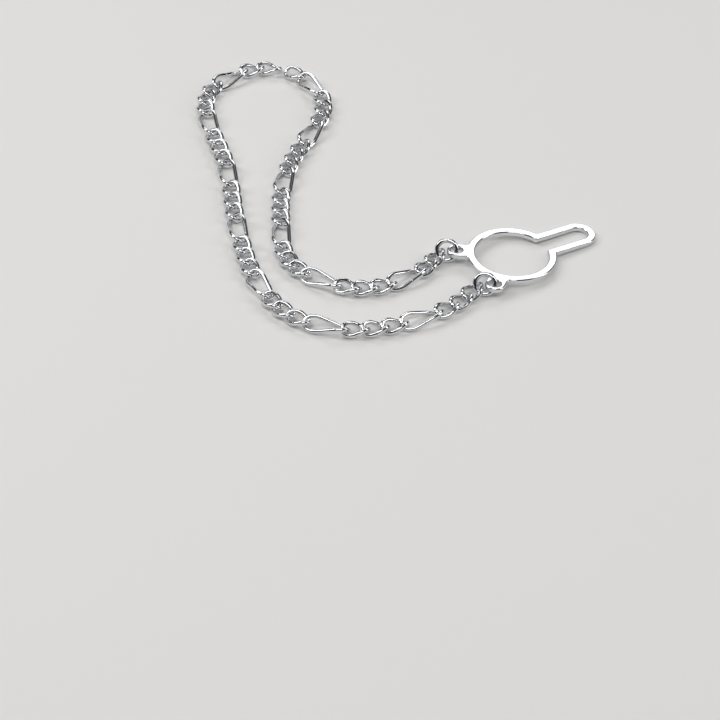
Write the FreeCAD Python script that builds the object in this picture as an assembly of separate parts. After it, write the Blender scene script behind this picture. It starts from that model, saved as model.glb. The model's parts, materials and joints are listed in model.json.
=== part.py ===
"""Dress chain with a keyhole button loop, laid out flat on a table.

One endless run of twisted-wire (curb) links, three small ones to each long one, is held at both ends by a jump ring
in a lug of the button loop. Millimetres, +Z up. The origin is the centre of the loop's round button opening.
"""
import FreeCAD
import Part

import math
import os

from FreeCAD import Placement, Rotation, Vector

# ---- driving dimensions, mm and degrees -------------------------------------------------------------------------

# button loop: a flat ring with a keyhole slot and two lugs
RING_INNER_R = 6.15
RING_OUTER_R = 7.50
LOOP_THICK = 0.85
SLOT_DIR = 47.5            # heading of the slot, seen from the ring's centre
SLOT_END = 13.25           # centre of the slot's round end
SLOT_INNER_R = 1.65
SLOT_OUTER_R = 3.00
LUG_DIRS = {"outer": 267.0, "inner": 194.0}
LUG_CENTRE = 9.15
LUG_OUTER_R = 1.65
LUG_HOLE_R = 0.98
NECK_OUTSIDE_R = 0.60
NECK_INSIDE_R = 0.35
LOOP_EDGE_R = 0.24
LUG_LIFT = 1.72            # mid-thickness height of the lugs, which rest on the jump rings

# jump ring: a round ring of round wire, leaning in its lug
JUMP_WIRE = 0.80
JUMP_R = 1.65              # to the wire's centre line
JUMP_LEAN = 54.7           # between the ring's plane and the table
JUMP_FACING = -82.7        # heading that the ring's upper side faces
JUMP_GAP = 0.06            # butt joint of the bent wire

# chain links: one length of wire each, bent to an oval and twisted a quarter turn end to end
LINK_WIRE = 0.74
LINK_HALF_WIDTH = 1.37     # to the wire's centre line
END_LEAN = 45.0            # lean of each end bow, one way at one end and the other way at the other
PLAY = 0.26                # looseness between two linked bows
BUTT_GAP = 0.04            # butt joint of the bent wire
PITCH = {"small": 3.2, "long": 6.4}
STRAIGHT = {"small": 0.0, "long": 1.35}   # half the straight part of each side
SIDE_SLOPE = {"small": 0.55, "long": 0.30}

# where each jump ring lies, and the first two links of its strand, bunched up against it
JUMP_CENTRE = {"outer": (-2.12, -9.32), "inner": (-10.52, -2.39)}
FIRST_LINKS = {            # place from the jump ring's centre and the table, then heading, pitch and roll
    "outer": (((-1.74, -1.60, 1.04), (254, 2, -1)), ((-2.76, -4.48, 1.00), (244, -1, 0))),
    "inner": (((-1.61, -1.55, 1.00), (263, -1, 6)), ((-2.27, -4.49, 1.04), (249, 0, 5))),
}
THIRD_LINK_START = {"outer": (-5.58, -15.23), "inner": (-13.20, -7.85)}

# The lay of the chain from the third link on: headings in degrees. After a short run of small links, every long
# link is followed by three small ones.
LAY = {
    "outer": (234,
              224, 215, 208, 198,
              181, 165, 150, 140,
              131, 124, 120, 119,
              117, 115, 113, 114,
              117, 121, 124, 124,
              120, 112, 98, 81,
              60, 37, 14),
    "inner": (234, 217, 200, 184,
              167, 151, 134, 119,
              110, 109, 108, 105,
              100, 93, 88, 85,
              86, 92, 103, 119,
              138, 159),
}
LEADING_SMALL = {"outer": 3, "inner": 2}
GATHER = {"outer": 0.0, "inner": 0.2}     # how far each link of the slack inner strand is pushed back
LAST_GATHERED = 18


# ---- wire forms -------------------------------------------------------------------------------------------------

def unit(v):
    return v * (1.0 / v.Length)


def arc_between(p, tangent, q):
    """Centre, axis and angle (degrees) of the arc that leaves p along tangent and ends at q."""
    chord = q - p
    along = chord.dot(tangent)
    side = chord - tangent * along
    normal = unit(side)
    radius = chord.dot(chord) / (2.0 * side.Length)
    angle = 2.0 * math.degrees(math.atan2(side.Length, along))
    return p + normal * radius, tangent.cross(normal), angle


def biarc_point(p, tp, q, tq):
    """Meeting point of the two tangent arcs that join p, leaving along tp, to q, arriving along tq."""
    chord = q - p
    both = tp + tq
    k = 1.0 - tp.dot(tq)
    c = chord.dot(both)
    reach = (math.sqrt(c * c + 2.0 * k * chord.dot(chord)) - c) / (2.0 * k)
    return (p + q + (tp - tq) * reach) * 0.5


def wire_arc(p, tangent, q, radius):
    """Round wire along the arc from p to q."""
    centre, axis, angle = arc_between(p, tangent, q)
    section = Part.Face(Part.Wire(Part.makeCircle(radius, p, tangent)))
    return section.revolve(centre, axis, angle)


def half_length(kind):
    """From a link's middle to the centre line of its end bow."""
    return (PITCH[kind] + LINK_WIRE + PLAY) / 2.0


def end_bow(kind, end):
    """Centre and tangent of the wire at a link's end (+1 or -1), in the link's own frame."""
    lean = math.radians(END_LEAN)
    return Vector(end * half_length(kind), 0, 0), Vector(0, math.cos(lean), -end * math.sin(lean))


def link_quarter(kind):
    """Wire of one quarter of a link, from the middle of its left side to the tip of its front bow."""
    radius = LINK_WIRE / 2.0
    side_mid = Vector(0, LINK_HALF_WIDTH, 0)
    side_dir = unit(Vector(1, 0, -SIDE_SLOPE[kind]))
    side_end = side_mid + side_dir * (STRAIGHT[kind] / side_dir.x)
    tip, across = end_bow(kind, 1)
    meet = biarc_point(side_end, side_dir, tip, across * -1)
    pieces = [wire_arc(side_end, side_dir, meet, radius), wire_arc(tip, across, meet, radius)]
    if STRAIGHT[kind] > 0:
        section = Part.Face(Part.Wire(Part.makeCircle(radius, side_mid, side_dir)))
        pieces.append(section.extrude(side_end - side_mid))
    return pieces


def make_link(kind):
    """A closed link about its own middle: long axis X, width Y."""
    quarter = link_quarter(kind)
    pieces = []
    for axis, angle in ((Vector(1, 0, 0), 0), (Vector(1, 0, 0), 180), (Vector(0, 1, 0), 180), (Vector(0, 0, 1), 180)):
        turn = Placement(Vector(), Rotation(axis, angle))
        for piece in quarter:
            turned = piece.copy()
            turned.Placement = turn
            pieces.append(turned)
    ring = pieces[0].multiFuse(pieces[1:]).removeSplitter()
    slit = Part.makeBox(BUTT_GAP, 2 * LINK_WIRE, 2 * LINK_WIRE,
                        Vector(-BUTT_GAP / 2, LINK_HALF_WIDTH - LINK_WIRE, -LINK_WIRE))
    return ring.cut(slit).Solids[0]


def make_jump_ring():
    """A jump ring about its own centre, flat in XY, with its butt joint at +Y."""
    half_gap = math.degrees(JUMP_GAP / 2.0 / JUMP_R)
    start = Vector(0, JUMP_R, 0)
    section = Part.Face(Part.Wire(Part.makeCircle(JUMP_WIRE / 2.0, start, Vector(1, 0, 0))))
    section.rotate(Vector(), Vector(0, 0, 1), half_gap)
    return section.revolve(Vector(), Vector(0, 0, 1), 360.0 - 2.0 * half_gap)


# ---- button loop ------------------------------------------------------------------------------------------------

def polar(r, heading):
    a = math.radians(heading)
    return Vector(r * math.cos(a), r * math.sin(a), 0)


def disc(radius, centre=Vector()):
    return Part.makeCylinder(radius, LOOP_THICK, centre - Vector(0, 0, LOOP_THICK / 2.0))


def bar(half_width, start, end, heading):
    """Flat bar of the loop's thickness from radius start to radius end along a heading."""
    box = Part.makeBox(end - start, 2 * half_width, LOOP_THICK, Vector(start, -half_width, -LOOP_THICK / 2.0))
    box.rotate(Vector(), Vector(0, 0, 1), heading)
    return box


def upright_edges(shape, near, reach):
    """Vertical straight edges within reach of one of the points near."""
    found = []
    for edge in shape.Edges:
        if abs(edge.tangentAt(edge.FirstParameter).z) > 0.999:
            mid = edge.CenterOfMass
            if any(math.hypot(mid.x - p.x, mid.y - p.y) < reach for p in near):
                found.append(edge)
    return found


def corner(radius, half_width, heading, side):
    """Where the side of a bar along a heading meets a circle about the origin."""
    along = math.sqrt(radius * radius - half_width * half_width)
    return polar(radius, heading + side * math.degrees(math.atan2(half_width, along)))


def make_loop():
    """The button loop, level about the ring's centre."""
    body = disc(RING_OUTER_R)
    body = body.fuse(bar(SLOT_OUTER_R, 0, SLOT_END, SLOT_DIR)).fuse(disc(SLOT_OUTER_R, polar(SLOT_END, SLOT_DIR)))
    outside = [corner(RING_OUTER_R, SLOT_OUTER_R, SLOT_DIR, side) for side in (-1, 1)]
    for heading in LUG_DIRS.values():
        body = body.fuse(bar(LUG_OUTER_R, RING_INNER_R, LUG_CENTRE, heading))
        body = body.fuse(disc(LUG_OUTER_R, polar(LUG_CENTRE, heading)))
        outside += [corner(RING_OUTER_R, LUG_OUTER_R, heading, side) for side in (-1, 1)]
    body = body.removeSplitter()
    body = body.makeFillet(NECK_OUTSIDE_R, upright_edges(body, outside, 0.3))
    opening = disc(RING_INNER_R).fuse(bar(SLOT_INNER_R, 0, SLOT_END, SLOT_DIR))
    opening = opening.fuse(disc(SLOT_INNER_R, polar(SLOT_END, SLOT_DIR))).removeSplitter()
    inside = [corner(RING_INNER_R, SLOT_INNER_R, SLOT_DIR, side) for side in (-1, 1)]
    opening = opening.makeFillet(NECK_INSIDE_R, upright_edges(opening, inside, 0.3))
    body = body.cut(opening)
    for heading in LUG_DIRS.values():
        body = body.cut(disc(LUG_HOLE_R, polar(LUG_CENTRE, heading)))
    rims = [edge for edge in body.Edges if abs(abs(edge.CenterOfMass.z) - LOOP_THICK / 2.0) < 1e-6]
    return body.makeFillet(LOOP_EDGE_R, rims)


def lug_setback():
    """Mean distance of the two lugs from the ring's centre, measured along the slot's line."""
    along = [-polar(LUG_CENTRE, heading).dot(polar(1, SLOT_DIR)) for heading in LUG_DIRS.values()]
    return sum(along) / len(along)


# The loop leans: the round end of its slot rests on the table and its lugs rest on the jump rings.
LOOP_SLOPE = (LUG_LIFT - LOOP_THICK / 2.0) / (SLOT_END + SLOT_OUTER_R + lug_setback())
TABLE_Z = -(LOOP_THICK / 2.0 + LOOP_SLOPE * (SLOT_END + SLOT_OUTER_R))
LOOP_TILT = Rotation(polar(1, SLOT_DIR + 90), math.degrees(math.atan(LOOP_SLOPE)))


# ---- where everything lies --------------------------------------------------------------------------------------

def lie_height(long_link):
    """Height of the links' middles over the table: the long links lie on it and hold up the small ones."""
    return -long_link.optimalBoundingBox(False, False).ZMin


def jump_frame(strand):
    """The jump ring leans back on the table, its low side towards JUMP_FACING."""
    x, y = JUMP_CENTRE[strand]
    height = JUMP_WIRE / 2.0 + JUMP_R * math.sin(math.radians(JUMP_LEAN))
    turn = Rotation(Vector(0, 0, 1), JUMP_FACING + 90).multiply(Rotation(Vector(1, 0, 0), JUMP_LEAN))
    return Placement(Vector(x, y, TABLE_Z + height), turn)


def kind_of(strand, number):
    """Kind of a strand's link, counted from 1: small links lead, then a long one comes before each three small."""
    after = number - LEADING_SMALL[strand] - 1
    return "long" if after >= 0 and after % 4 == 0 else "small"


def lay_strand(strand, height):
    """(name, kind, placement) of each link, from the jump ring outwards. Each link's X points outwards."""
    placements = []
    ring = Vector(*JUMP_CENTRE[strand], TABLE_Z)
    for place, angles in FIRST_LINKS[strand]:
        placements.append(Placement(ring + Vector(*place), Rotation(*angles)))
    here = Vector(*THIRD_LINK_START[strand], TABLE_Z + height)
    for heading in LAY[strand]:
        number = len(placements) + 1
        if 3 < number <= LAST_GATHERED:
            here = here - polar(GATHER[strand], heading)
        step = polar(PITCH[kind_of(strand, number)], heading)
        placements.append(Placement(here + step * 0.5, Rotation(heading, 0, 0)))
        here = here + step
    laid = []
    for number, placement in enumerate(placements, start=1):
        kind = kind_of(strand, number)
        laid.append(("%s_%02d_%s" % (strand, number, kind), kind, placement))
    return laid


def build():
    """Every piece of the chain as {node name: solid}."""
    loop = make_loop()
    loop.Placement = Placement(Vector(), LOOP_TILT)
    nodes = {"button_loop": loop}
    forms = {kind: make_link(kind) for kind in PITCH}
    height = lie_height(forms["long"])
    ring = make_jump_ring()
    for strand in LAY:
        piece = ring.copy()
        piece.Placement = jump_frame(strand)
        nodes["%s_jump_ring" % strand] = piece
        for name, kind, placement in lay_strand(strand, height):
            piece = forms[kind].copy()
            piece.Placement = placement
            nodes[name] = piece
    return nodes


def main():
    os.makedirs("parts", exist_ok=True)
    for name, solid in build().items():
        solid.exportStep("parts/%s.step" % name)


if __name__ == "__main__":
    main()
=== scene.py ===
# %% [markdown]
# # A tie chain over its CAD frame
# A tie chain is a fine chain that hangs in front of a necktie. Both of its ends are held by jump rings in a
# small stamped loop, and a shirt button goes through the loop's keyhole. This lesson loads the CAD model,
# which holds every piece at its true size and place, and gives each piece a finer mesh and the finish of
# the real metal.

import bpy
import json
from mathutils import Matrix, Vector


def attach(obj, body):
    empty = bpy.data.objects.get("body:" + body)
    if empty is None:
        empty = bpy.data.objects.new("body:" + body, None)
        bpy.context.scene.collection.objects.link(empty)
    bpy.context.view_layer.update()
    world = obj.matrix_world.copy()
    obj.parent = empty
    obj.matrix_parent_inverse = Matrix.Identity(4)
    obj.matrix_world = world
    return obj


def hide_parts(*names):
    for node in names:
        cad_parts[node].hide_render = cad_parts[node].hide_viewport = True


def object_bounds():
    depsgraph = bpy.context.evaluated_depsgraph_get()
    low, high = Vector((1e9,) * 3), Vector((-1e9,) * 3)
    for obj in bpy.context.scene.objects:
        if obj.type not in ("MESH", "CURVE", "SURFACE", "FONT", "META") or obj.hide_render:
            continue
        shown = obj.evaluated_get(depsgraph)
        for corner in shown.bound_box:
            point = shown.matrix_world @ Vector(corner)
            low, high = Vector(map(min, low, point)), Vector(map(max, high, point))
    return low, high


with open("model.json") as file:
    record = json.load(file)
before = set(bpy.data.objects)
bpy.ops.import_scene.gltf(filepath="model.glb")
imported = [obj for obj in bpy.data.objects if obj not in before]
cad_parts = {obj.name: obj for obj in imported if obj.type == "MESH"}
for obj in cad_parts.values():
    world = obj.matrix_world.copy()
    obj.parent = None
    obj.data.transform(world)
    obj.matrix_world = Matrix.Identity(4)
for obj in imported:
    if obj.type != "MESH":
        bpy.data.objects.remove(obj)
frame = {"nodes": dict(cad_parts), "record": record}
cad_low, cad_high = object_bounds()
print("CAD nodes:", len(frame["nodes"]))

# %% [markdown]
# Blender works in metres, and a jeweller in millimetres. All sizes below are in millimetres, and meshes are
# scaled once, when they are made.

# %% Units and modules
import json
import math

import bpy
import numpy as np
from mathutils import Matrix, Vector
from mathutils.geometry import tessellate_polygon

MM = 0.001


def in_mm(size):
    """A size in metres as a short list in millimetres, for printing."""
    return [round(v / MM, 2) for v in size]


print("CAD box in mm:", in_mm(cad_high - cad_low))

# %% [markdown]
# ## Where each piece lies
# Every link is a copy of one of two forms, turned and moved. A list of places and angles could say where
# each one lies, but the CAD solids already do. A link has three half-turn symmetries, so the principal axes
# of its solid are its length, width and thickness. They come from the second moments of the solid, summed
# over the tetrahedra between its faces and its middle. The axes alone don't tell left from right. The butt
# joint of the CAD link does: its two cut faces stand in the middle of the left side.

# %% Faces of a CAD solid
SLIT = 0.04 * MM           # width of the butt joint of a CAD link


def solid_mesh(node):
    """The points of a CAD node, and the numbers of the three points of each of its triangles."""
    mesh = frame["nodes"][node].data
    mesh.calc_loop_triangles()
    points = np.empty(3 * len(mesh.vertices))
    mesh.vertices.foreach_get("co", points)
    corners = np.empty(3 * len(mesh.loop_triangles), dtype=np.int32)
    mesh.loop_triangles.foreach_get("vertices", corners)
    return points.reshape(-1, 3), corners.reshape(-1, 3)


sample = solid_mesh("outer_jump_ring")
print("a CAD jump ring has", len(sample[0]), "points and", len(sample[1]), "triangles")


# %% Principal axes of a CAD solid
def solid_place(node):
    """Matrix that takes a form about its own middle, X its length and Y its width, to where the node is."""
    points, corners = solid_mesh(node)
    centre = points.mean(axis=0)
    points -= centre
    a, b, c = points[corners].transpose(1, 0, 2)
    volume = np.einsum("ij,ij->i", a, np.cross(b, c)) / 6
    middle = ((a + b + c) * volume[:, None]).sum(axis=0) / (4 * volume.sum())
    a, b, c = a - middle, b - middle, c - middle
    weight = np.einsum("ij,ij->i", a, np.cross(b, c))
    moments = sum(np.einsum("i,ij,ik->jk", weight, v, v) for v in (a, b, c, a + b + c))
    axes = np.linalg.eigh(moments)[1]
    length, width = axes[:, 2], axes[:, 1]
    local = points - middle
    cut_faces = np.abs(np.abs(local @ length) - SLIT / 2) < SLIT / 8
    if cut_faces.any() and (local[cut_faces] @ width).sum() < 0:
        width = -width
    place = Matrix(np.column_stack([length, width, np.cross(length, width)]).tolist()).to_4x4()
    place.translation = Vector(middle + centre)
    return place


places = {node: solid_place(node) for node in frame["nodes"] if node != "button_loop"}
small_nodes = sorted(node for node in places if node.endswith("_small"))
long_nodes = sorted(node for node in places if node.endswith("_long"))
ring_nodes = sorted(node for node in places if node.endswith("_jump_ring"))
print("small links:", len(small_nodes), "long links:", len(long_nodes), "jump rings:", len(ring_nodes))

# %% [markdown]
# ## The link
# A curb link starts as a length of drawn wire. It is bent round a mandrel until its ends meet, and then its
# two end bows are twisted a quarter turn against each other, so that a row of links lies flat. A stretched
# and twisted torus would come near it, but it would thin the wire in the bends. Here the wire's centre line
# is made from tangent arcs, as the bending makes it: a quarter of the link from the middle of a side to the
# tip of a bow, and three copies of it turned half round.

# %% Link sizes
LINK_WIRE = 0.74
LINK_HALF_WIDTH = 1.37     # to the wire's centre line
END_LEAN = math.radians(45)
PLAY = 0.26                # looseness between two linked bows
LINK_FORMS = {             # pitch, half of the straight side, slope of the side
    "small": (3.2, 0.0, 0.55),
    "long": (6.4, 1.35, 0.30),
}
ARC_STEP = 0.09            # between the points of an arc
SIDE_POINTS = 13           # on half of a straight side
print("link pitches in mm:", [form[0] for form in LINK_FORMS.values()], "in wire of", LINK_WIRE)


# %% Arcs of the bent wire
def unit(v):
    """The direction of v, with length 1."""
    return v / np.linalg.norm(v)


def arc_points(p, tangent, q):
    """Points from p up to q along the arc that leaves p along tangent."""
    chord = q - p
    along = chord @ tangent
    side = chord - along * tangent
    width = np.linalg.norm(side)
    radius = chord @ chord / (2 * width)
    angle = 2 * math.atan2(width, along)
    turn = np.linspace(0, angle, max(4, round(radius * angle / ARC_STEP)))[:, None]
    return p + radius * (np.sin(turn) * tangent + (1 - np.cos(turn)) * side / width)


def meeting_point(p, p_dir, q, q_dir):
    """Where an arc from p, leaving along p_dir, and an arc that reaches q along q_dir meet in one tangent."""
    chord = q - p
    lead = chord @ (p_dir + q_dir)
    spread = 2 * (1 - p_dir @ q_dir)
    reach = (math.sqrt(lead ** 2 + spread * (chord @ chord)) - lead) / spread
    return (p + q + (p_dir - q_dir) * reach) / 2


quarter_turn = arc_points(np.array([1.0, 0, 0]), np.array([0, 1.0, 0]), np.array([0, 1.0, 0]))
print("a quarter turn of 1 mm radius takes", len(quarter_turn), "points")


# %% The centre line of a link
def link_guide(kind):
    """The centre line round a whole link, a closed row of points from the middle of its left side."""
    pitch, straight, slope = LINK_FORMS[kind]
    side_dir = unit(np.array([1, 0, -slope]))
    side_mid = np.array([0, LINK_HALF_WIDTH, 0])
    side_end = side_mid + side_dir * straight / side_dir[0]
    tip = np.array([(pitch + LINK_WIRE + PLAY) / 2, 0, 0])
    across = np.array([0, -math.cos(END_LEAN), math.sin(END_LEAN)])
    meet = meeting_point(side_end, side_dir, tip, across)
    quarter = [arc_points(side_end, side_dir, meet)[:-1], arc_points(tip, -across, meet)[::-1]]
    if straight:
        quarter.insert(0, np.linspace(side_mid, side_end, SIDE_POINTS, endpoint=False))
    quarter = np.vstack(quarter)
    back = quarter[::-1]
    return np.vstack([
        quarter[:-1],
        (back * (1, -1, -1))[:-1],
        (quarter * (-1, -1, 1))[:-1],
        (back * (-1, 1, -1))[:-1],
    ])


guides = {kind: link_guide(kind) for kind in LINK_FORMS}
for kind, guide in guides.items():
    size = guide.max(axis=0) - guide.min(axis=0) + LINK_WIRE
    print(kind, "link:", len(guide), "guide points, outer size in mm", size.round(2))

# %% [markdown]
# ## Wire
# A tube swept along the guide is the wire. A curve with a round bevel would give the same tube, closed and
# without a joint. The real wire is cut square and only butted together, so here the sweep is left open:
# both ends get a small rounded edge and a flat face, and a hairline gap shows between them.

# %% Open a guide at its butt joint
BUTT_EDGE = 0.05           # rounding of the cut ends
EDGE_MIDDLE = 0.3          # its middle is this share of it from the cut, and as far under the wire's surface
END_CLEARANCE = 0.02       # least distance from the rounding to the next point of the guide


def open_guide(guide, gap):
    """The guide opened by gap at its first point: its points, how far along each is, and its inset there."""
    ring = np.vstack([guide, guide[:1]])
    along = np.concatenate([[0], np.cumsum(np.linalg.norm(np.diff(ring, axis=0), axis=1))])
    total = along[-1]
    edge = BUTT_EDGE * np.array([0, EDGE_MIDDLE, 1])
    end = gap / 2 + edge
    between = (along > end[-1] + END_CLEARANCE) & (along < total - end[-1] - END_CLEARANCE)
    stops = np.concatenate([end, along[between], total - end[::-1]])
    points = np.column_stack([np.interp(stops, along, ring[:, i]) for i in range(3)])
    inset = np.zeros(len(stops))
    inset[:3], inset[-3:] = edge[::-1], edge
    return points, stops, inset


LINK_GAP = 0.012           # the hairline between the ends of a link
for kind, guide in guides.items():
    print(kind, "link: wire cut to", round(open_guide(guide, LINK_GAP)[1][-1], 2), "mm")

# %% [markdown]
# Each section of the wire starts on the side that faces the middle of the link. That gives every point its
# place round the wire, and two things are stored with it for the finish: how far it faces inwards, which
# makes the plate rougher where a polishing mop can't reach and darkens its colour there as painted shade,
# and a UV map in millimetres along and round the wire, for the marks of drawing.

# %% Sections and faces of a wire
SECTION_SIDES = 24
SECTION_ANGLES = np.linspace(0, 2 * math.pi, SECTION_SIDES, endpoint=False)


def wire_sections(points, stops, radius):
    """A ring of points about each guide point, its first one on the side of the middle."""
    tangent = np.gradient(points, stops, axis=0)
    tangent /= np.linalg.norm(tangent, axis=1)[:, None]
    inward = -points + np.sum(points * tangent, axis=1)[:, None] * tangent
    inward /= np.linalg.norm(inward, axis=1)[:, None]
    beside = np.cross(tangent, inward)
    cos, sin = np.cos(SECTION_ANGLES)[None, :, None], np.sin(SECTION_ANGLES)[None, :, None]
    return points[:, None] + (cos * inward[:, None] + sin * beside[:, None]) * radius[:, None, None]


def wire_faces(count):
    """Quads between count sections, then the fans of the two cut faces about the last two points."""
    last = (count - 1) * SECTION_SIDES
    sides = [(j, (j + 1) % SECTION_SIDES) for j in range(SECTION_SIDES)]
    faces = []
    for low in range(0, last, SECTION_SIDES):
        high = low + SECTION_SIDES
        faces += [(low + j, low + k, high + k, high + j) for j, k in sides]
    first_middle = last + SECTION_SIDES
    for j, k in sides:
        faces.append((k, j, first_middle))
        faces.append((last + j, last + k, first_middle + 1))
    return faces


print("a tube of 10 sections has", len(wire_faces(10)), "faces")

# %% Marks for the finish
SIDE_RECESS = 0.45         # depth of a side's inner face, where a bow's is 1


def store_recess(mesh, points):
    """How far each point faces inwards, most of all inside the bows, for rougher plate and painted shade
    there. The middles of the cut faces don't.
    """
    facing = np.tile(np.cos(SECTION_ANGLES), len(points))
    reach = np.repeat(np.linalg.norm(points, axis=1), SECTION_SIDES)
    recess = np.clip(facing, 0, 1) * (SIDE_RECESS + (1 - SIDE_RECESS) * (reach / reach.max()) ** 4)
    layer = mesh.attributes.new("recess", "FLOAT", "POINT")
    layer.data.foreach_set("value", np.append(recess, [0, 0]).astype(np.float32))


def store_wire_uv(mesh, stops, wire):
    """A UV map in millimetres, along the wire and round it."""
    along = np.append(np.repeat(stops, SECTION_SIDES), [0, stops[-1]])
    around = np.append(np.tile(SECTION_ANGLES * wire / 2, len(stops)), [0, 0])
    loops = np.empty(len(mesh.loops), dtype=np.int32)
    mesh.loops.foreach_get("vertex_index", loops)
    uv = np.column_stack([along[loops], around[loops]])
    closing = 4 * (SECTION_SIDES * np.arange(1, len(stops)) - 1)     # where each section's last quad starts
    uv[closing + 1, 1] = uv[closing + 2, 1] = math.pi * wire
    layer = mesh.uv_layers.new(name="wire_mm")
    layer.data.foreach_set("uv", uv.astype(np.float32).ravel())


def wire_mesh(name, guide, wire, gap):
    """A mesh of round wire along a closed guide, butted at the guide's first point."""
    points, stops, inset = open_guide(guide, gap)
    sections = wire_sections(points, stops, wire / 2 - inset)
    verts = np.vstack([sections.reshape(-1, 3), points[:1], points[-1:]])
    mesh = bpy.data.meshes.new(name)
    mesh.from_pydata((verts * MM).tolist(), [], wire_faces(len(points)))
    mesh.shade_smooth()
    store_recess(mesh, points)
    store_wire_uv(mesh, stops, wire)
    mesh.validate()
    return mesh


link_meshes = {kind: wire_mesh(kind + "_link", guide, LINK_WIRE, LINK_GAP) for kind, guide in guides.items()}
for kind, mesh in link_meshes.items():
    print(kind, "link mesh:", len(mesh.polygons), "faces")

# %% [markdown]
# ## Jump rings
# A jump ring is one turn of slightly thicker wire, cut from a coil. It is opened sideways, hung in the lug
# and the first link, and pressed shut, so it has the same butt joint as a link but a round, flat form. A
# torus has no joint, so the ring is swept like a link, along a circle.

# %% The jump ring
JUMP_WIRE = 0.80
JUMP_R = 1.65              # to the wire's centre line
JUMP_GAP = 0.02            # a ring pressed shut by hand closes less well than a link bent by machine
JUMP_STEPS = 120
turn = np.linspace(0, 2 * math.pi, JUMP_STEPS, endpoint=False)
ring_guide = JUMP_R * np.column_stack([np.sin(turn), np.cos(turn), np.zeros(JUMP_STEPS)])
ring_mesh = wire_mesh("jump_ring", ring_guide, JUMP_WIRE, JUMP_GAP)
print("jump ring mesh:", len(ring_mesh.polygons), "faces, outside", 2 * JUMP_R + JUMP_WIRE, "mm")

# %% [markdown]
# ## Hang the wire pieces
# Each link and jump ring is an object of its own, made from its form and put where the CAD solid lies. It
# stands for that CAD node and rides on the same body, so it turns with its joint.


# %% Place links and jump rings
def stand_for(piece, node):
    """The piece is shown instead of the CAD node, and moves with it."""
    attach(piece, node)
    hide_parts(node)
    return piece


def hang(nodes, form):
    """One piece of the same form for each node, in its place."""
    pieces = []
    for node in nodes:
        mesh = form.copy()
        mesh.transform(places[node])
        piece = bpy.data.objects.new(node + "_wire", mesh)
        bpy.context.scene.collection.objects.link(piece)
        pieces.append(stand_for(piece, node))
    return pieces


links = hang(small_nodes, link_meshes["small"])
links += hang(long_nodes, link_meshes["long"])
rings = hang(ring_nodes, ring_mesh)
print("hung", len(links), "links and", len(rings), "jump rings")

# %% [markdown]
# ## The button loop
# The loop is stamped from sheet in one blow: a flat ring, a keyhole slot for the button's thread, and two
# lugs for the jump rings. Tumbling then rounds its edges. Discs and bars joined with booleans would need
# their corners rounded afterwards, so it is drawn instead. Its outline and its opening are the same kind of
# figure, a circle with round-ended tabs, and one function draws both. Where a tab leaves the circle, a
# small arc touches both.

# %% Loop sizes
opening = next(m for m in frame["record"]["mounts"] if m["name"] == "button_opening")
RING_INNER_R = opening["dims"]["r_mm"]
LOOP_THICK = opening["dims"]["length_mm"]
RING_OUTER_R = 7.50
SLOT_DIR = 47.5            # heading of the slot in degrees, seen from the ring's centre
SLOT_END = 13.25           # centre of the slot's round end
SLOT_INNER_R = 1.65
SLOT_OUTER_R = 3.00
LUG_DIRS = (194.0, 267.0)
LUG_CENTRE = 9.15
LUG_OUTER_R = 1.65
LUG_HOLE_R = 0.98
NECK_OUTSIDE_R = 0.60      # the small arcs where a tab leaves its circle
NECK_INSIDE_R = 0.35
OUTLINE_STEP = 0.12        # between the points of the outlines
HOLE_STEP = 0.08
print("loop:", 2 * RING_OUTER_R, "mm across, opening", 2 * RING_INNER_R, "mm, sheet", LOOP_THICK, "mm")


# %% Outlines made of arcs
def sweep_arc(centre, radius, start, end, step=OUTLINE_STEP):
    """Points of an arc about centre, angles in degrees, without its last point."""
    count = max(3, math.ceil(abs(math.radians(end - start)) * radius / step))
    a = np.radians(np.linspace(start, end, count, endpoint=False))
    return centre + radius * np.column_stack([np.cos(a), np.sin(a)])


def polar(radius, heading):
    """The point at this distance from the ring's centre, in the direction of heading, in degrees."""
    a = math.radians(heading)
    return np.array([radius * math.cos(a), radius * math.sin(a)])


def tabbed_circle(radius, tabs):
    """A circle with round-ended tabs, each (heading, half width, centre of the round end, neck radius)."""
    necks = []
    for heading, half_width, end, neck in tabs:
        off = half_width + neck
        along = math.sqrt((radius + neck) ** 2 - off ** 2)
        necks.append((along, off, math.degrees(math.atan2(off, along))))
    outline = []
    for i, (heading, half_width, end, neck) in enumerate(tabs):
        along, off, spread = necks[i]
        out, side = polar(1, heading), polar(1, heading + 90)
        right, left = out * along - side * off, out * along + side * off
        outline.append(sweep_arc(right, neck, heading + 180 - spread, heading + 90))
        outline.append(sweep_arc(polar(end, heading), half_width, heading - 90, heading + 90))
        outline.append(sweep_arc(left, neck, heading + 270, heading + 180 + spread))
        following = (i + 1) % len(tabs)
        stop = tabs[following][0] - necks[following][2] + (360 if following <= i else 0)
        outline.append(sweep_arc(np.zeros(2), radius, heading + spread, stop))
    return np.vstack(outline)


slot_rim = (SLOT_DIR, SLOT_OUTER_R, SLOT_END, NECK_OUTSIDE_R)
lugs = [(heading, LUG_OUTER_R, LUG_CENTRE, NECK_OUTSIDE_R) for heading in LUG_DIRS]
outline = tabbed_circle(RING_OUTER_R, [slot_rim] + lugs)
keyhole = tabbed_circle(RING_INNER_R, [(SLOT_DIR, SLOT_INNER_R, SLOT_END, NECK_INSIDE_R)])
lug_holes = [sweep_arc(polar(LUG_CENTRE, heading), LUG_HOLE_R, 0, 360, HOLE_STEP) for heading in LUG_DIRS]
print("outline points:", len(outline), "keyhole points:", len(keyhole))

# %% [markdown]
# The plate's edge is drawn as a profile that runs from the top face, round the top edge, down the cut wall
# and round the bottom edge, and each outline point carries one copy of it. A bevel modifier could round the
# edges too, but it leaves long thin faces whose shading ripples. As the true direction of the surface is
# known everywhere here, it is given to the mesh as its normals, so reflections run smoothly from the flat
# faces over the rounded edges.

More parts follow.
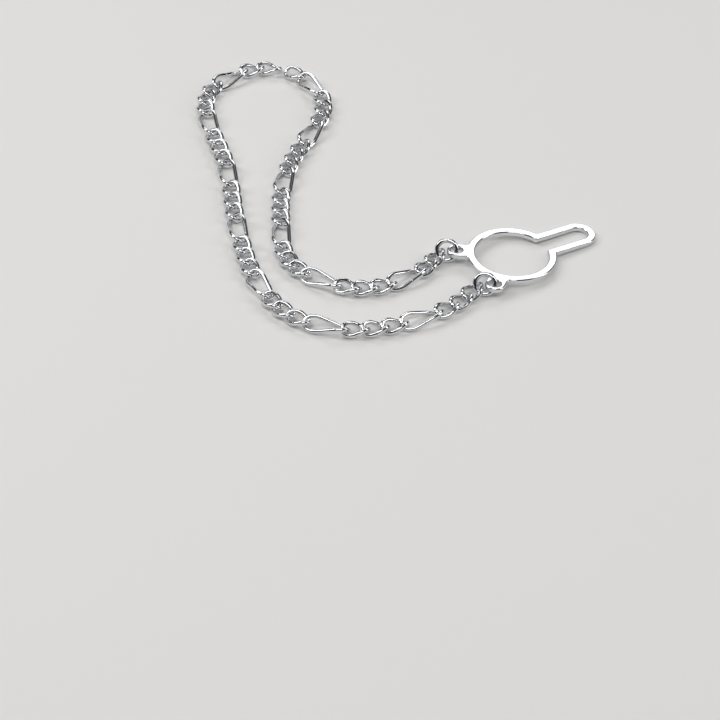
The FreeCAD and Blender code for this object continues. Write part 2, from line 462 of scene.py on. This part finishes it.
# %% The profile of the edge
EDGE_TOP = 0.24            # rounding of the top edges
EDGE_BOTTOM = 0.22
EDGE_STEPS = 6


def edge_profile():
    """(inset, height, outward part of the normal, upward part) from the top face to the bottom face."""
    half = LOOP_THICK / 2
    rows = []
    for a in np.radians(np.linspace(90, 0, EDGE_STEPS + 1)):
        out, up = math.cos(a), math.sin(a)
        rows.append((EDGE_TOP * (1 - out), half - EDGE_TOP * (1 - up), out, up))
    for a in np.radians(np.linspace(0, -90, EDGE_STEPS + 1)):
        out, up = math.cos(a), math.sin(a)
        rows.append((EDGE_BOTTOM * (1 - out), EDGE_BOTTOM * (1 + up) - half, out, up))
    return rows


def outward(points, hole):
    """Unit normals of a closed outline, out of the metal."""
    ahead = np.roll(points, -1, axis=0) - np.roll(points, 1, axis=0)
    normal = np.column_stack([ahead[:, 1], -ahead[:, 0]])
    normal /= np.linalg.norm(normal, axis=1)[:, None]
    return -normal if hole else normal


print("edge profile:", len(edge_profile()), "points")


# %% Walls and faces of the plate
def wall_points(points, hole):
    """Points, normals and wall marks of one border, row by row of the profile."""
    across = outward(points, hole)
    verts, normals, wall = [], [], []
    for inset, height, out, up in edge_profile():
        for p, n in zip(points - inset * across, across):
            verts.append((p[0], p[1], height))
            normals.append((out * n[0], out * n[1], up))
            wall.append(out)
    return verts, normals, wall


def wall_faces(rows, hole):
    """Quads between each row of point numbers and the next, facing out of the metal."""
    faces = []
    for upper, lower in zip(rows, rows[1:]):
        for i, j in zip(range(len(upper)), [*range(1, len(upper)), 0]):
            quad = (upper[i], lower[i], lower[j], upper[j])
            faces.append(quad[::-1] if hole else quad)
    return faces


def flat_face(verts, rims, upward):
    """Triangles that fill the top or bottom face between its rims, each a row of point numbers."""
    numbers = [i for rim in rims for i in rim]
    faces = []
    for tri in tessellate_polygon([[Vector(verts[i]) for i in rim] for rim in rims]):
        corner = [numbers[i] for i in tri]
        p, q, r = (np.array(verts[i]) for i in corner)
        downward = np.cross(q - p, r - p)[2] < 0
        if downward == upward:
            corner.reverse()
        faces.append(tuple(corner))
    return faces


def plate_mesh(name, borders):
    """A plate bounded by the first border, with the others as holes."""
    verts, normals, wall, faces, top, bottom = [], [], [], [], [], []
    for number, points in enumerate(borders):
        hole = number > 0
        first = len(verts)
        new_verts, new_normals, new_wall = wall_points(points, hole)
        verts += new_verts
        normals += new_normals
        wall += new_wall
        rows = np.arange(first, len(verts)).reshape(-1, len(points)).tolist()
        faces += wall_faces(rows, hole)
        top.append(rows[0])
        bottom.append(rows[-1])
    faces += flat_face(verts, top, True) + flat_face(verts, bottom, False)
    mesh = bpy.data.meshes.new(name)
    mesh.from_pydata((np.array(verts) * MM).tolist(), [], faces)
    mesh.shade_smooth()
    mesh.normals_split_custom_set_from_vertices(normals)
    layer = mesh.attributes.new("cut_wall", "FLOAT", "POINT")
    layer.data.foreach_set("value", np.array(wall, dtype=np.float32))
    return mesh


loop = bpy.data.objects.new("button_loop_plate", plate_mesh("button_loop", [outline, keyhole] + lug_holes))
bpy.context.scene.collection.objects.link(loop)
lean = Vector((0, 0, 1)).rotation_difference(Vector(opening["axis"]))
loop.matrix_world = Matrix.Translation(opening["pos_m"]) @ lean.to_matrix().to_4x4()
stand_for(loop, "button_loop")

# %% [markdown]
# ## Finishes
# The pieces are brass, plated with rhodium: a hard white metal, a little greyer and cooler than silver,
# that does not tarnish. Its colour is all in its reflection, so it is a fully metallic surface, and a
# picture of highlights laid on it would stand still when the piece moves. What the eye sees beyond the
# mirror is small: marks of drawing along the wire, a rougher plate where a mop doesn't reach, and hairline
# scratches on flat faces. Where the mop doesn't reach, inside the bows, the wire's colour is also darkened
# as painted shade.


# %% Helpers for materials
def linear(code):
    """sRGB hex to linear colour."""
    parts = [int(code[i:i + 2], 16) / 255 for i in (1, 3, 5)]
    return tuple(p / 12.92 if p <= 0.04045 else ((p + 0.055) / 1.055) ** 2.4 for p in parts) + (1.0,)


def add(tree, kind, inputs, **settings):
    """One node, with its settings, and its inputs as values or as the sockets that feed them."""
    node = tree.nodes.new(kind)
    for name, value in settings.items():
        setattr(node, name, value)
    for name, value in inputs.items():
        if isinstance(value, bpy.types.NodeSocket):
            tree.links.new(value, node.inputs[name])
        else:
            node.inputs[name].default_value = value
    return node


def new_material(name):
    """A material with an empty node tree, and the tree."""
    material = bpy.data.materials.new(name)
    material.use_nodes = True
    tree = material.node_tree
    tree.nodes.clear()
    return material, tree


def per_metre(size_mm):
    """Pattern scale, for coordinates in metres, that repeats about every size_mm."""
    return 1 / (size_mm * MM)


RHODIUM = linear("#E3E4E6")
RHODIUM_WORN = linear("#DADBDE")       # the same plate, finely scratched
RHODIUM_PAINTED_SHADE = linear("#C2C3C8")    # painted shade: the plate's colour darkened in the depth of a bow
print("rhodium, linear:", [round(c, 3) for c in RHODIUM[:3]])

# %% [markdown]
# ** Rhodium-plated drawn wire.** Drawing through a die leaves fine lines along the wire, about 0.03 mm
# apart, which polishing nearly removes. They are drawn at 0.08 to 0.1 mm, so that they show in a close
# view. Inside the bows the plate is a little rougher, and its colour is darkened there as painted shade;
# both vary softly over about half a millimetre.

# %% Wire finish
LINES_ALONG = 0.6          # repeats of the lines per millimetre along the wire
LINE_DEPTH = 0.02
WIRE_CLOUD = 0.55          # size of a cloud
CLOUD_ROUGHNESS = 0.03     # what the clouds add
RECESS_ROUGHNESS = 0.12    # what the depth of a bow adds


def plated_wire(name, line_mm, roughness):
    """Polished wire with drawn lines line_mm apart, and the roughness of its brightest places."""
    material, tree = new_material(name)
    place = add(tree, "ShaderNodeTexCoord", {})
    stretched = add(tree, "ShaderNodeMapping",
                    {"Vector": place.outputs["UV"], "Scale": (LINES_ALONG, 1 / line_mm, 1)})
    lines = add(tree, "ShaderNodeTexNoise",
                {"Vector": stretched.outputs["Vector"], "Scale": 1.0, "Detail": 3.0})
    cloud = add(tree, "ShaderNodeTexNoise",
                {"Vector": place.outputs["Object"], "Scale": per_metre(WIRE_CLOUD), "Detail": 2.0})
    recess = add(tree, "ShaderNodeAttribute", {}, attribute_name="recess")
    # inner faces of the wire, in soft patches: the plate is rougher there, and its colour is darkened as
    # painted shade
    dullness_and_shade = add(tree, "ShaderNodeMath", {0: recess.outputs["Fac"], 1: cloud.outputs["Fac"]},
               operation="MULTIPLY")
    # painted shade: the colour darkens on the inner faces of the wire, most in the depth of the bows
    colour = add(tree, "ShaderNodeMix", {"Factor": dullness_and_shade.outputs[0], 6: RHODIUM, 7: RHODIUM_PAINTED_SHADE},
                 data_type="RGBA")
    rough = add(tree, "ShaderNodeMapRange",
                {"Value": cloud.outputs["Fac"], "From Min": 0.3, "From Max": 0.7,
                 "To Min": roughness, "To Max": roughness + CLOUD_ROUGHNESS})
    rougher = add(tree, "ShaderNodeMath",
                  {0: dullness_and_shade.outputs[0], 1: RECESS_ROUGHNESS, 2: rough.outputs["Result"]},
                  operation="MULTIPLY_ADD")
    bump = add(tree, "ShaderNodeBump",
               {"Height": lines.outputs["Fac"], "Strength": 0.12, "Distance": LINE_DEPTH * MM})
    shader = add(tree, "ShaderNodeBsdfPrincipled",
                 {"Base Color": colour.outputs[2], "Metallic": 1.0, "Roughness": rougher.outputs[0],
                  "Normal": bump.outputs["Normal"]})
    add(tree, "ShaderNodeOutputMaterial", {"Surface": shader.outputs["BSDF"]})
    return material


link_wire = plated_wire("rhodium_plated_link_wire", 0.08, 0.045)
jump_wire = plated_wire("rhodium_plated_jump_wire", 0.10, 0.04)
for piece in links:
    piece.data.materials.append(link_wire)
for piece in rings:
    piece.data.materials.append(jump_wire)
print("wire finishes:", link_wire.name, jump_wire.name)

# %% [markdown]
# **Rhodium-plated stamped sheet.** The faces are buffed nearly to a mirror, with hairlines from the mop and
# from wear, mostly under 0.02 mm wide, drawn here at 0.06 mm. The wall of a blanked part keeps faint
# upright lines from the shear, and tumbling leaves the surface very slightly wavy, which is what makes
# reflections in it swim.

# %% Stamped sheet finish
HAIRLINE = (2.4, 0.06, 0.5)            # size of the pattern along X, Y and Z
SHEAR_LINE = (0.12, 0.12, 3.0)
WAVE = 2.2
SHEET_CLOUD = 0.8
HAIRLINE_DEPTH = 0.02
WAVE_DEPTH = 0.03


def plated_sheet(name):
    """Buffed sheet with hairlines on its faces and shear lines on its cut walls."""
    material, tree = new_material(name)
    place = add(tree, "ShaderNodeTexCoord", {})
    wall = add(tree, "ShaderNodeAttribute", {}, attribute_name="cut_wall")
    # the turn keeps the noise's own grid from lining up with the hairlines
    stretched = add(tree, "ShaderNodeMapping",
                    {"Vector": place.outputs["Object"], "Rotation": (0, 0, math.radians(SLOT_DIR)),
                     "Scale": [per_metre(v) for v in HAIRLINE]})
    hairlines = add(tree, "ShaderNodeTexNoise",
                    {"Vector": stretched.outputs["Vector"], "Scale": 1.0, "Detail": 2.0})
    upright = add(tree, "ShaderNodeMapping",
                  {"Vector": place.outputs["Object"], "Scale": [per_metre(v) for v in SHEAR_LINE]})
    shear = add(tree, "ShaderNodeTexNoise",
                {"Vector": upright.outputs["Vector"], "Scale": 1.0, "Detail": 1.0})
    waves = add(tree, "ShaderNodeTexNoise",
                {"Vector": place.outputs["Object"], "Scale": per_metre(WAVE), "Detail": 1.0})
    cloud = add(tree, "ShaderNodeTexNoise",
                {"Vector": place.outputs["Object"], "Scale": per_metre(SHEET_CLOUD), "Detail": 3.0})
    grain = add(tree, "ShaderNodeMix",
                {"Factor": wall.outputs["Fac"], "A": hairlines.outputs["Fac"], "B": shear.outputs["Fac"]})
    colour = add(tree, "ShaderNodeMix", {"Factor": cloud.outputs["Fac"], 6: RHODIUM, 7: RHODIUM_WORN},
                 data_type="RGBA")
    rough = add(tree, "ShaderNodeMapRange",
                {"Value": grain.outputs["Result"], "From Min": 0.35, "From Max": 0.75,
                 "To Min": 0.06, "To Max": 0.13})
    fine = add(tree, "ShaderNodeBump",
               {"Height": grain.outputs["Result"], "Strength": 0.06, "Distance": HAIRLINE_DEPTH * MM})
    swim = add(tree, "ShaderNodeBump",
               {"Height": waves.outputs["Fac"], "Strength": 0.35, "Distance": WAVE_DEPTH * MM,
                "Normal": fine.outputs["Normal"]})
    shader = add(tree, "ShaderNodeBsdfPrincipled",
                 {"Base Color": colour.outputs[2], "Metallic": 1.0, "Roughness": rough.outputs["Result"],
                  "Normal": swim.outputs["Normal"]})
    add(tree, "ShaderNodeOutputMaterial", {"Surface": shader.outputs["BSDF"]})
    return material


loop_sheet = plated_sheet("rhodium_plated_stamped_sheet")
loop.data.materials.append(loop_sheet)
print("sheet finish:", loop_sheet.name)

# %% [markdown]
# ## Floor, light and camera
# Bright metal shows only what is round it. On a pale floor under an even sky it would vanish. So the room
# here is dark, and four large soft panels stand in it. The floor is plain pale paper, just under the lowest
# wire, so that the metal touches nothing.

# %% Floor
FLOOR_REACH = 1.6          # metres from the middle to each side
FLOOR_DROP = 0.01          # below the CAD box
floor_mesh = bpy.data.meshes.new("studio_floor")
floor_corners = [(x * FLOOR_REACH, y * FLOOR_REACH, 0) for x, y in ((-1, -1), (1, -1), (1, 1), (-1, 1))]
floor_mesh.from_pydata(floor_corners, [], [(0, 1, 2, 3)])
floor = bpy.data.objects.new("studio_floor", floor_mesh)
floor.location.z = cad_low.z - FLOOR_DROP * MM
bpy.context.scene.collection.objects.link(floor)
floor_paper, tree = new_material("pale_matt_paper")
shader = add(tree, "ShaderNodeBsdfPrincipled", {"Base Color": linear("#F1F0EE"), "Roughness": 0.85})
add(tree, "ShaderNodeOutputMaterial", {"Surface": shader.outputs["BSDF"]})
floor_mesh.materials.append(floor_paper)
print("floor", 2 * FLOOR_REACH, "m across, at", round(floor.location.z / MM, 2), "mm")

# %% [markdown]
# The room is the world behind everything. Metal that faced a wholly dark ceiling or skirting would turn
# black, so the room is a little lighter overhead and close to the floor, and nearly black between, where
# its reflection draws the thin dark lines on the wire.

# %% Dark room
ROOM_GREYS = [             # (height, from 0 at the horizon to 1 overhead, brightness)
    (0.0, 0.32), (0.10, 0.25), (0.30, 0.03), (0.80, 0.03), (0.94, 0.22), (1.0, 0.32),
]
COOL = 1.02                # share of blue to the rest
world = bpy.data.worlds.new("dark_room")
bpy.context.scene.world = world
world.use_nodes = True
tree = world.node_tree
tree.nodes.clear()
place = add(tree, "ShaderNodeTexCoord", {})
split = add(tree, "ShaderNodeSeparateXYZ", {"Vector": place.outputs["Generated"]})
ramp = add(tree, "ShaderNodeValToRGB", {"Fac": split.outputs["Z"]})
elements = ramp.color_ramp.elements
for number, (height, grey) in enumerate(ROOM_GREYS):
    element = elements[number] if number < 2 else elements.new(height)
    element.position = height
    element.color = (grey, grey, grey * COOL, 1)
background = add(tree, "ShaderNodeBackground", {"Color": ramp.outputs["Color"], "Strength": 1.0})
add(tree, "ShaderNodeOutputWorld", {"Surface": background.outputs["Background"]})
print("room brightness by height:", ROOM_GREYS)

# %% [markdown]
# The soft panels are area lights, which metal mirrors as bright rectangles. The one behind the chain gives
# the flat loop its white face, and the others draw long highlights on the wire. Small hard lamps would give
# only dots.

# %% Soft panels
PANELS = {                 # azimuth and elevation in degrees, distance and (width, height) in metres, watts
    "back_panel": (197, 42, 0.70, (0.56, 0.34), 1.2),
    "left_panel": (280, 45, 0.60, (0.24, 0.44), 1.3),
    "right_panel": (105, 35, 0.60, (0.16, 0.44), 0.9),
    "front_panel": (10, 60, 0.65, (0.40, 0.20), 1.1),
}
middle = (cad_low + cad_high) / 2


def set_panel(name, azimuth, elevation, distance, size, power):
    """A soft panel aimed at the middle of the object. Azimuth 0 is towards -Y, and grows towards +X."""
    a, e = math.radians(azimuth), math.radians(elevation)
    away = Vector((math.sin(a) * math.cos(e), -math.cos(a) * math.cos(e), math.sin(e)))
    light = bpy.data.lights.new(name, "AREA")
    light.shape = "RECTANGLE"
    light.size, light.size_y = size
    light.energy = power
    lamp = bpy.data.objects.new(name, light)
    lamp.location = middle + away * distance
    lamp.rotation_mode = "QUATERNION"
    lamp.rotation_quaternion = away.to_track_quat("Z", "Y")
    bpy.context.scene.collection.objects.link(lamp)


for name, setting in PANELS.items():
    set_panel(name, *setting)
print("soft panels:", ", ".join(PANELS))

# %% [markdown]
# The camera looks down on the table from the front right, through a long lens, so that the chain is drawn
# almost without perspective. The standard view keeps white panels white in the metal and the dark between
# them dark.

# %% Camera
CAMERA_AT = Vector((0.0767, -0.3423, 0.2644))
CAMERA_RIGHT = Vector((0.95605, 0.29311, 0.00705))
CAMERA_FORWARD = Vector((-0.22233, 0.74046, -0.63427))
LENS = 132.3
SENSOR = 36
camera_data = bpy.data.cameras.new("camera")
camera_data.lens = LENS
camera_data.sensor_width = SENSOR
camera_data.clip_start, camera_data.clip_end = 0.01, 10
camera = bpy.data.objects.new("camera", camera_data)
up = CAMERA_RIGHT.cross(CAMERA_FORWARD).normalized()
right = CAMERA_FORWARD.cross(up).normalized()
back = -CAMERA_FORWARD.normalized()
pose = Matrix((right, up, back)).transposed().to_4x4()
pose.translation = CAMERA_AT
camera.matrix_world = pose
bpy.context.scene.collection.objects.link(camera)
bpy.context.scene.camera = camera
bpy.context.scene.view_settings.view_transform = "Standard"
print("camera at", [round(v, 3) for v in CAMERA_AT])
